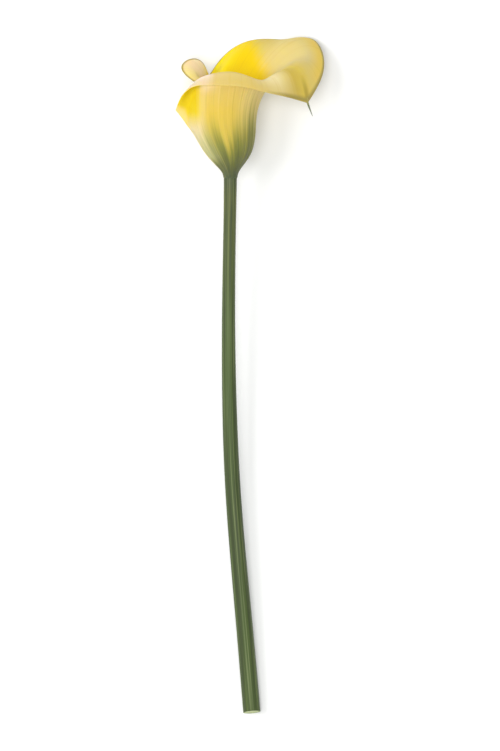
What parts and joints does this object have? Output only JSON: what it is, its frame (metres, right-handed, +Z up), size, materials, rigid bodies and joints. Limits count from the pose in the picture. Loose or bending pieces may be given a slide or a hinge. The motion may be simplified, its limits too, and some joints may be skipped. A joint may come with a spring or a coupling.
{
  "type": "arum lily flower",
  "caption": "Picked yellow arum lily flower laid down: a leafless green stem, a rolled trumpet spathe with a thread at its tip, and a spadix covered with florets.",
  "frame": {"origin": "on the surface that the flower lies on, under the middle of its bounding box", "axes": "+Y along the flower from the cut end of the stem to the mouth, +X to the right seen from above, where the spathe's lip and tip reach out, +Z up from the surface"},
  "size_m": [0.0708, 0.3208, 0.0446],
  "materials": {
    "stem_skin": "smooth waxy green skin with fine lengthwise streaks, satin",
    "spathe_skin": "waxy yellow petal tissue, thin enough to glow against the light, turning green at the foot, satin",
    "floret": "golden, granular, matt, powdered with pollen"
  },
  "bodies": {
    "root": {"stem": "stem_skin", "spathe": "spathe_skin", "spadix": "floret"}
  },
  "joints": []
}
